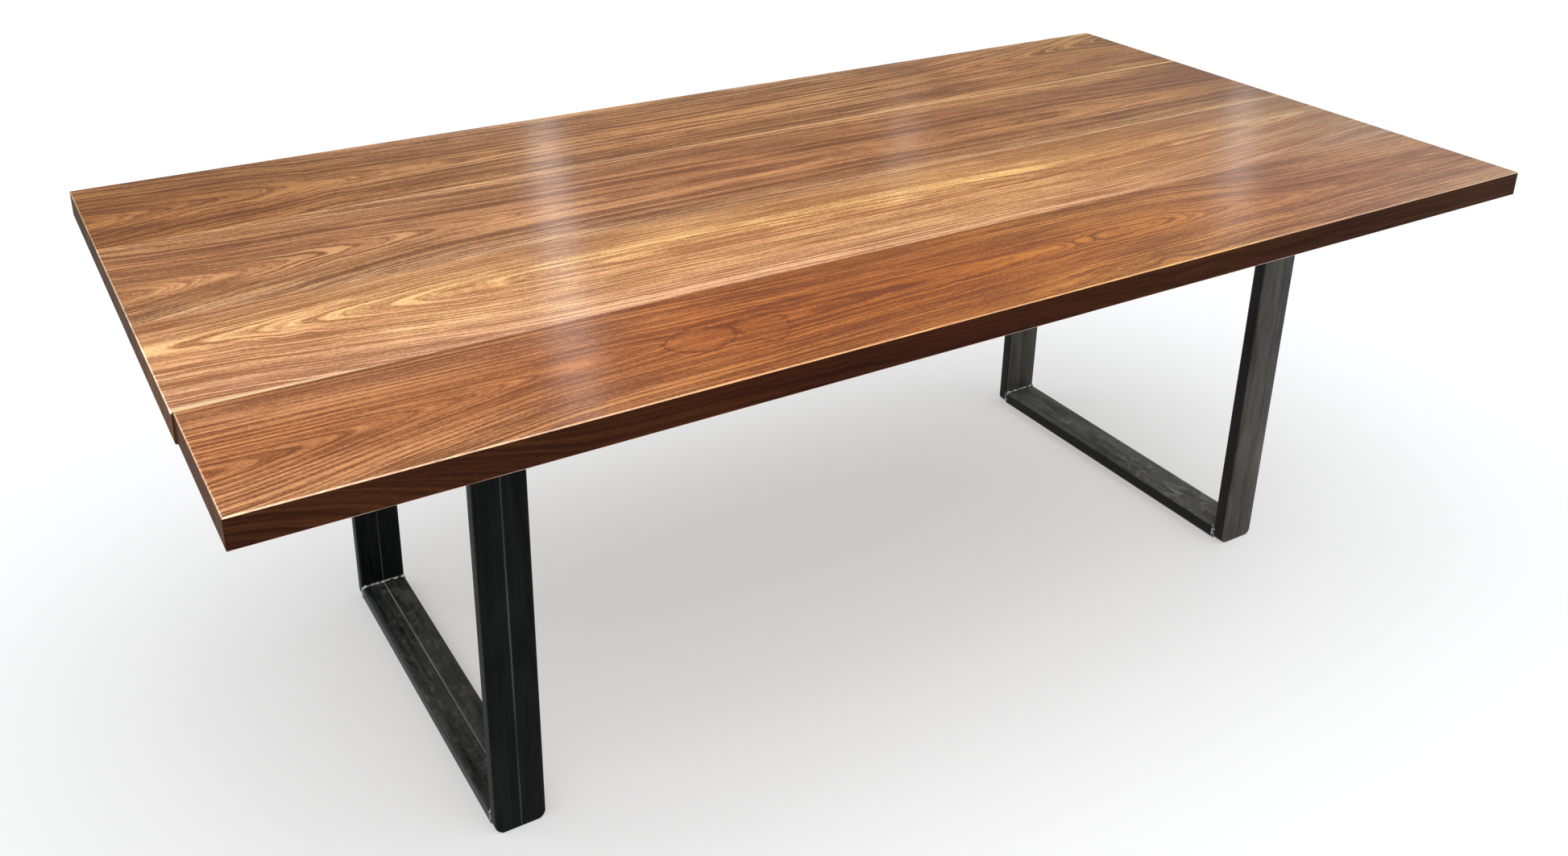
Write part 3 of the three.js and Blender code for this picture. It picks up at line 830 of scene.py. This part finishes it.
CAP_FACETS = 14
CAP_NARROW_ROUNDING = 0.002


def drawn_in(rounding, level):
    """How far a rounded lower edge stands in from the side, at a level above its foot."""
    return rounding - math.sqrt(max(0, rounding**2 - max(0, rounding - level) ** 2))


def cap_piece(node, material):
    """A leg's closed end, ground round at its lower edges."""
    low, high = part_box(node)
    centre = (low + high) / 2
    half = (high - low) / 2
    height = high.z - low.z
    turns = [math.pi / 2 * i / CAP_FACETS for i in range(CAP_FACETS + 1)]
    levels = [CAP_ROUNDING * (1 - math.cos(turn)) for turn in turns] + [height]
    rings = []
    for level in levels:
        wide_in = drawn_in(CAP_ROUNDING, level)
        narrow_in = drawn_in(CAP_NARROW_ROUNDING, level)
        corner = TUBE_CORNER - narrow_in
        outline = tube_outline(half.x - wide_in, half.y - narrow_in, corner, seam=False)
        rings.append([(centre.x + u, centre.y + v, low.z + level) for u, v in outline])
    points, faces = lofted(rings)
    piece = make_piece(node + "_steel", points, faces, material)
    sharpen(piece, 50)
    return stand_for(piece, node)


# ---- Welds --------------------------------------------------------------------------------

BEAD_FACETS = 6
RIPPLE_PITCH = 0.0021
PATH_STEP = 0.0006
GROOVE_REACH = 0.0050
GROOVE_FORWARD = 0.0035
GROOVE_BULGE = 0.0012
SWELL = 0.16
SWELL_WAVES = 160  # per metre of bead
FILLET_ROUNDING = 0.8
ROOT_OF_FILLET = (-0.0006, -0.0004)
ROOT_OF_GROOVE = (-0.0016, -0.0010)
RIPPLE = 0.13
RIPPLE_LAG = 1.3  # how far each ripple's middle trails its ends, in radians
CORNER_STEPS = 8
BEAD_DOWN = 1.9  # how far a rail's bead runs down, in half heights of its flat side


def outline_path(half_wide, half_narrow, corner, start, stop):
    """(place, outward direction, length so far) along a rounded rectangle, from one corner
    quarter to another. Quarters go anticlockwise from the +first axis, and 4 is 0 again."""
    path = []
    travelled = 0.0
    last = None
    for quarter in range(start, stop + 1):
        sign_u = 1 if quarter % 4 in (0, 3) else -1
        sign_v = 1 if quarter % 4 in (0, 1) else -1
        for i in range(CORNER_STEPS + 1):
            angle = math.pi / 2 * (quarter + i / CORNER_STEPS)
            direction = (math.cos(angle), math.sin(angle))
            place = (
                sign_u * (half_wide - corner) + corner * direction[0],
                sign_v * (half_narrow - corner) + corner * direction[1],
            )
            if last is not None:
                gap = math.dist(place, last[0])
                steps = max(1, round(gap / PATH_STEP))
                for step in range(1, steps + 1):
                    k = step / steps
                    between = tuple(p + (q - p) * k for p, q in zip(last[0], place))
                    facing = tuple(p + (q - p) * k for p, q in zip(last[1], direction))
                    path.append((between, facing, travelled + gap * k))
                travelled += gap
            else:
                path.append((place, direction, 0.0))
            last = (place, direction)
    return path


def bead_rings(path, groove, seed):
    """(place, outward direction, section) along a rippled bead, where a section is (outward,
    forward) offsets: a fillet, or with groove a filled seam on the sides that lie flush."""
    rings = []
    for place, facing, length in path:
        flush = abs(facing[0]) if groove else 0.0
        swell = 1 + SWELL * noise.noise(Vector((length * SWELL_WAVES, seed, 0)))
        phase = 2 * math.pi * length / RIPPLE_PITCH
        ring = []
        for i in range(BEAD_FACETS + 1):
            angle = math.pi / 2 * i / BEAD_FACETS
            crown = math.sin(2 * angle)
            ripple = 1 + RIPPLE * math.sin(phase - RIPPLE_LAG * crown) * crown
            size = WELD_LEG * swell * ripple
            toe = size * math.cos(angle) ** FILLET_ROUNDING
            climb = size * math.sin(angle) ** FILLET_ROUNDING
            across = i / BEAD_FACETS
            bulge = GROOVE_BULGE * swell * ripple * math.sin(math.pi * across)
            seat = (bulge, -GROOVE_REACH + (GROOVE_REACH + GROOVE_FORWARD) * across)
            ring.append(tuple(f + (s - f) * flush for f, s in zip((toe, climb), seat)))
        ring.append(tuple(f + (s - f) * flush for f, s in zip(ROOT_OF_FILLET, ROOT_OF_GROOVE)))
        rings.append((place, facing, ring))
    return rings


def rail_weld_piece(side, end, material):
    """The bead over a floor rail and down its sides, where it meets a leg."""
    node = f"{side}_rail_weld_{end}"
    rail_low, rail_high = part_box(f"{side}_floor_rail")
    leg_low, leg_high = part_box(f"{side}_leg_{end}")
    centre_x = (rail_low.x + rail_high.x) / 2
    half_wide = (rail_high.x - rail_low.x) / 2
    half_high = (rail_high.z - rail_low.z) / 2
    middle_z = rail_low.z + half_high
    forward = 1 if end == "front" else -1
    face_y = leg_high.y if end == "front" else leg_low.y
    path = outline_path(half_wide, half_high, TUBE_CORNER, 0, 1)
    drop = half_high - TUBE_CORNER
    steps = round(drop * 2 / PATH_STEP)
    (first_u, first_v), first_facing, _ = path[0]
    (last_u, last_v), last_facing, total = path[-1]
    rise = []
    fall = []
    for i in range(steps):
        below = drop * BEAD_DOWN * (1 - i / steps)
        rise.append(((first_u, first_v - below), first_facing, -below))
        below = drop * BEAD_DOWN * (i + 1) / steps
        fall.append(((last_u, last_v - below), last_facing, total + below))
    rings = []
    for (u, v), facing, section in bead_rings(rise + path + fall, True, centre_x * 3 + face_y):
        x = centre_x + u
        z = middle_z + v
        rings.append([
            (x + facing[0] * out, face_y + forward * ahead, z + facing[1] * out)
            for out, ahead in section
        ])
    points, faces = lofted(rings)
    if forward > 0:
        faces = [tuple(reversed(face)) for face in faces]
    piece = make_piece(node + "_bead", points, faces, material)
    return stand_for(piece, node)


def bar_weld_piece(side, end, material):
    """The bead round the top of a leg, under the bar."""
    node = f"{side}_bar_weld_{end}"
    low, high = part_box(f"{side}_leg_{end}")
    centre = (low + high) / 2
    half = (high - low) / 2
    path = outline_path(half.x, half.y, TUBE_CORNER, 0, 4)[: -CORNER_STEPS - 1]
    rings = []
    for (u, v), facing, section in bead_rings(path, False, centre.x + centre.y):
        rings.append([
            (centre.x + u + facing[0] * out, centre.y + v + facing[1] * out, high.z - ahead)
            for out, ahead in section
        ])
    rings.append(rings[0])
    points, faces = lofted(rings, capped=False)
    faces = [tuple(reversed(face)) for face in faces]
    piece = make_piece(node + "_bead", points, faces, material)
    joined = bmesh.new()
    joined.from_mesh(piece.data)
    bmesh.ops.remove_doubles(joined, verts=joined.verts, dist=1e-6)
    bmesh.ops.recalc_face_normals(joined, faces=joined.faces)
    joined.to_mesh(piece.data)
    joined.free()
    return stand_for(piece, node)


# ---- Bars and bolts -----------------------------------------------------------------------


BAR_ROUNDING = 0.0006


def bar_look(side, material):
    """The CAD's own bar, with its material and its rolled edges."""
    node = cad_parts[f"{side}_top_bar"]
    node.data.materials.clear()
    node.data.materials.append(material)
    rounding = node.modifiers.new("rolled_edge", "BEVEL")
    rounding.width = BAR_ROUNDING
    rounding.segments = 2
    rounding.limit_method = "ANGLE"
    rounding.angle_limit = math.radians(40)


HEX_FACETS = 48
HEX_FLATS = 0.013
HEX_HEIGHT = 0.0054
FLANGE_RADIUS = 0.0085
FLANGE_THICKNESS = 0.0018
SHANK_RADIUS = 0.0037
BEARING_RADIUS = HEX_FLATS / 2 * 0.93  # the flat of the head inside its chamfer


def hexagon_radius(angle, flats):
    """How far a hexagon's outline is from its centre, at an angle."""
    sixth = math.pi / 3
    return flats / 2 / math.cos((angle % sixth) - sixth / 2)


def bolt_piece(node, material):
    """A flange bolt, head down: chamfered hexagon head, sloped flange and shank."""
    low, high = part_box(node)
    centre_x = (low.x + high.x) / 2
    centre_y = (low.y + high.y) / 2
    seat = low.z + HEX_HEIGHT + FLANGE_THICKNESS

    def ring(radius_at, z):
        angles = [2 * math.pi * i / HEX_FACETS for i in range(HEX_FACETS)]
        return [
            (centre_x + radius_at(a) * math.cos(a), centre_y + radius_at(a) * math.sin(a), z)
            for a in angles
        ]

    rings = [
        ring(lambda a: BEARING_RADIUS * 0.62, low.z + 0.0004),
        ring(lambda a: BEARING_RADIUS * 0.70, low.z),
        ring(lambda a: BEARING_RADIUS, low.z),
        ring(lambda a: min(hexagon_radius(a, HEX_FLATS), BEARING_RADIUS + 0.0009), low.z + 0.0006),
        ring(lambda a: hexagon_radius(a, HEX_FLATS), low.z + 0.0013),
        ring(lambda a: hexagon_radius(a, HEX_FLATS), seat - FLANGE_THICKNESS - 0.0003),
        ring(lambda a: hexagon_radius(a, HEX_FLATS) + 0.0003, seat - FLANGE_THICKNESS),
        ring(lambda a: FLANGE_RADIUS - 0.0003, seat - 0.0009),
        ring(lambda a: FLANGE_RADIUS, seat - 0.0006),
        ring(lambda a: FLANGE_RADIUS, seat),
        ring(lambda a: SHANK_RADIUS, seat),
        ring(lambda a: SHANK_RADIUS, high.z - 0.0008),
        ring(lambda a: SHANK_RADIUS - 0.0008, high.z),
    ]
    points, faces = lofted(rings)
    piece = make_piece(node + "_head", points, faces, material)
    sharpen(piece, 28)
    return stand_for(piece, node)


# ---- Build --------------------------------------------------------------------------------

for board in BOARDS:
    board_piece(board)

FRAME_X = {side: sum(corner.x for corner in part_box(f"{side}_floor_rail")) / 2 for side in SIDES}
# Each tube gets its own copy of the steel, and their colours hold painted light and shade: the left
# leg is tinted near black, the right leg lighter, and each rail lighter than its leg, against the
# shade under the table.
steel = {
    "left_leg": mill_scale_and_painted_light(
        "mill_scale_and_painted_light_left_leg", "z", (0.0018, 0.0023, 0.0025), (0.0085, 0.0090, 0.0090), 0.04,
        flank=0.8, seam_x=FRAME_X["left"],
    ),
    "left_rail": mill_scale_and_painted_light(
        "mill_scale_and_painted_light_left_rail", "y", (0.006, 0.008, 0.008), (0.048, 0.052, 0.050), 0.15,
        flank=0.12, seam_x=FRAME_X["left"], bloom=0.55,
    ),
    "right_leg": mill_scale_and_painted_light(
        "mill_scale_and_painted_light_right_leg", "z", (0.018, 0.0175, 0.0155), (0.078, 0.073, 0.063), 0.12,
        flank=0.16, seam_x=FRAME_X["right"] + 0.012, seam_bright=False,
    ),
    "right_rail": mill_scale_and_painted_light(
        "mill_scale_and_painted_light_right_rail", "y", (0.022, 0.024, 0.024), (0.115, 0.120, 0.112), 0.16,
        flank=0.05, bloom=0.60,
    ),
    "bar": mill_scale_and_painted_light(
        "mill_scale_bar", "y", (0.012, 0.013, 0.013), (0.05, 0.052, 0.050), 0.2, bloom=0.3
    ),
}
bead_metal = weld_metal()
zinc = plated("zinc_plate", (0.62, 0.62, 0.60))
brass = plated("brass", (0.62, 0.47, 0.20))

for side in SIDES:
    for end in ENDS:
        outward = -1 if end == "front" else 1
        seam_side = outward if side == "left" else -outward
        tube_piece(f"{side}_leg_{end}", "z", seam_side, steel[side + "_leg"])
        cap_piece(f"{side}_leg_cap_{end}", steel[side + "_leg"])
        rail_weld_piece(side, end, bead_metal)
        bar_weld_piece(side, end, bead_metal)
    tube_piece(f"{side}_floor_rail", "y", 1 if side == "left" else -1, steel[side + "_rail"])
    bar_look(side, steel["bar"])
    for i in range(1, BOLTS_PER_BAR + 1):
        bolt_piece(f"{side}_bolt_{i}", zinc)
        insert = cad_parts[f"{side}_insert_{i}"]
        insert.data.materials.clear()
        insert.data.materials.append(brass)


# ---- Stage --------------------------------------------------------------------------------


FLOOR_REACH = 40.0
FLOOR_TINT = (0.372, 0.380, 0.386)
FLOOR_GLOW = 0.385  # the paper is lit from below as well, which keeps the shadow pale


def make_floor():
    far = FLOOR_REACH
    points = [(-far, -far, 0), (far, -far, 0), (far, far, 0), (-far, far, 0)]
    g = Graph("floor_paper")
    x, y, _ = g.place()
    shade = g.noise(x * 0.6, y * 0.6, 0.0)
    darker = tuple(channel * 0.985 for channel in FLOOR_TINT)
    paper = g.finish(base_color=g.mix(shade, FLOOR_TINT, darker), roughness=0.95)
    g.shader.inputs["Specular IOR Level"].default_value = 0.05
    g.shader.inputs["Emission Color"].default_value = (1.0, 1.0, 1.0, 1.0)
    g.shader.inputs["Emission Strength"].default_value = FLOOR_GLOW
    make_piece("floor", points, [(0, 1, 2, 3)], paper, smooth=False)


# Brightness of the studio by the sine of the height above the horizon, and the dim wall beyond
# the table: the way to its middle, and the cosines where it ends and where it is at its darkest.
DOME = ((0.0, 0.60), (0.35, 0.62), (0.60, 0.80), (0.85, 1.45), (1.0, 1.60))
DOME_BRIGHTEST = 1.6
DOME_STRENGTH = 1.95
WALL_WAY = (0.19, 0.90, 0.37)
WALL_EDGE = (0.45, 0.92)
WALL_DIMMING = 0.84


def make_world():
    world = bpy.data.worlds.new("studio")
    world.use_nodes = True
    nodes, links = world.node_tree.nodes, world.node_tree.links
    direction = nodes.new("ShaderNodeTexCoord")
    split = nodes.new("ShaderNodeSeparateXYZ")
    ramp = nodes.new("ShaderNodeValToRGB")
    ramp.color_ramp.interpolation = "EASE"
    elements = ramp.color_ramp.elements
    while len(elements) < len(DOME):
        elements.new(0.5)
    for element, (height, brightness) in zip(elements, DOME):
        element.position = height
        element.color = (brightness / DOME_BRIGHTEST,) * 3 + (1.0,)
    links.new(direction.outputs["Generated"], split.inputs[0])
    links.new(split.outputs["Z"], ramp.inputs["Fac"])
    toward = nodes.new("ShaderNodeVectorMath")
    toward.operation = "DOT_PRODUCT"
    toward.inputs[1].default_value = WALL_WAY
    links.new(direction.outputs["Generated"], toward.inputs[0])
    wall = nodes.new("ShaderNodeMapRange")
    wall.interpolation_type = "SMOOTHSTEP"
    wall.inputs["From Min"].default_value, wall.inputs["From Max"].default_value = WALL_EDGE
    wall.inputs["To Min"].default_value = 1.0
    wall.inputs["To Max"].default_value = 1.0 - WALL_DIMMING
    links.new(toward.outputs["Value"], wall.inputs["Value"])
    strength = nodes.new("ShaderNodeMath")
    strength.operation = "MULTIPLY"
    strength.inputs[1].default_value = DOME_STRENGTH * DOME_BRIGHTEST
    links.new(wall.outputs["Result"], strength.inputs[0])
    links.new(ramp.outputs["Color"], nodes["Background"].inputs["Color"])
    links.new(strength.outputs["Value"], nodes["Background"].inputs["Strength"])
    bpy.context.scene.world = world


CAMERA_PLACE = Vector((-1.2481, -1.8755, 1.5757))
CAMERA_YAW = math.radians(31.33)
CAMERA_PITCH = math.radians(22.81)
CAMERA_ROLL = math.radians(0.89)
CAMERA_LENS = 33.54
CAMERA_SHIFT = (0.0122, -0.1137)


def make_camera():
    data = bpy.data.cameras.new("camera")
    data.sensor_width = 36.0
    data.lens = CAMERA_LENS
    data.shift_x, data.shift_y = CAMERA_SHIFT
    camera = bpy.data.objects.new("camera", data)
    yaw = Matrix.Rotation(-CAMERA_YAW, 4, "Z")
    tilt = Matrix.Rotation(math.pi / 2 - CAMERA_PITCH, 4, "X")
    roll = Matrix.Rotation(CAMERA_ROLL, 4, "Z")
    camera.matrix_world = Matrix.Translation(CAMERA_PLACE) @ yaw @ tilt @ roll
    bpy.context.scene.collection.objects.link(camera)
    bpy.context.scene.camera = camera


# Three thin ceiling lights that the finish mirrors as faint streaks: their two ends, and power.
STRIP_HEIGHT = 3.5
STRIP_WIDTH = 0.22
STRIPS = (
    ((3.00, 8.57), (1.27, 3.94), 7.5),
    ((5.60, 7.17), (4.75, 6.14), 1.1),
    ((8.79, 6.55), (6.05, 4.18), 3.2),
)


def make_strips():
    for number, (start, end, power) in enumerate(STRIPS, 1):
        a = Vector((*start, STRIP_HEIGHT))
        b = Vector((*end, STRIP_HEIGHT))
        data = bpy.data.lights.new(f"strip_{number}", "AREA")
        data.shape = "RECTANGLE"
        data.size = (b - a).length
        data.size_y = STRIP_WIDTH
        data.energy = power
        strip = bpy.data.objects.new(f"strip_{number}", data)
        strip.location = (a + b) / 2
        strip.rotation_euler = (0, 0, math.atan2(b.y - a.y, b.x - a.x))
        strip.visible_camera = False
        bpy.context.scene.collection.objects.link(strip)


make_floor()
make_world()
make_strips()
make_camera()
bpy.context.scene.view_settings.view_transform = "Standard"
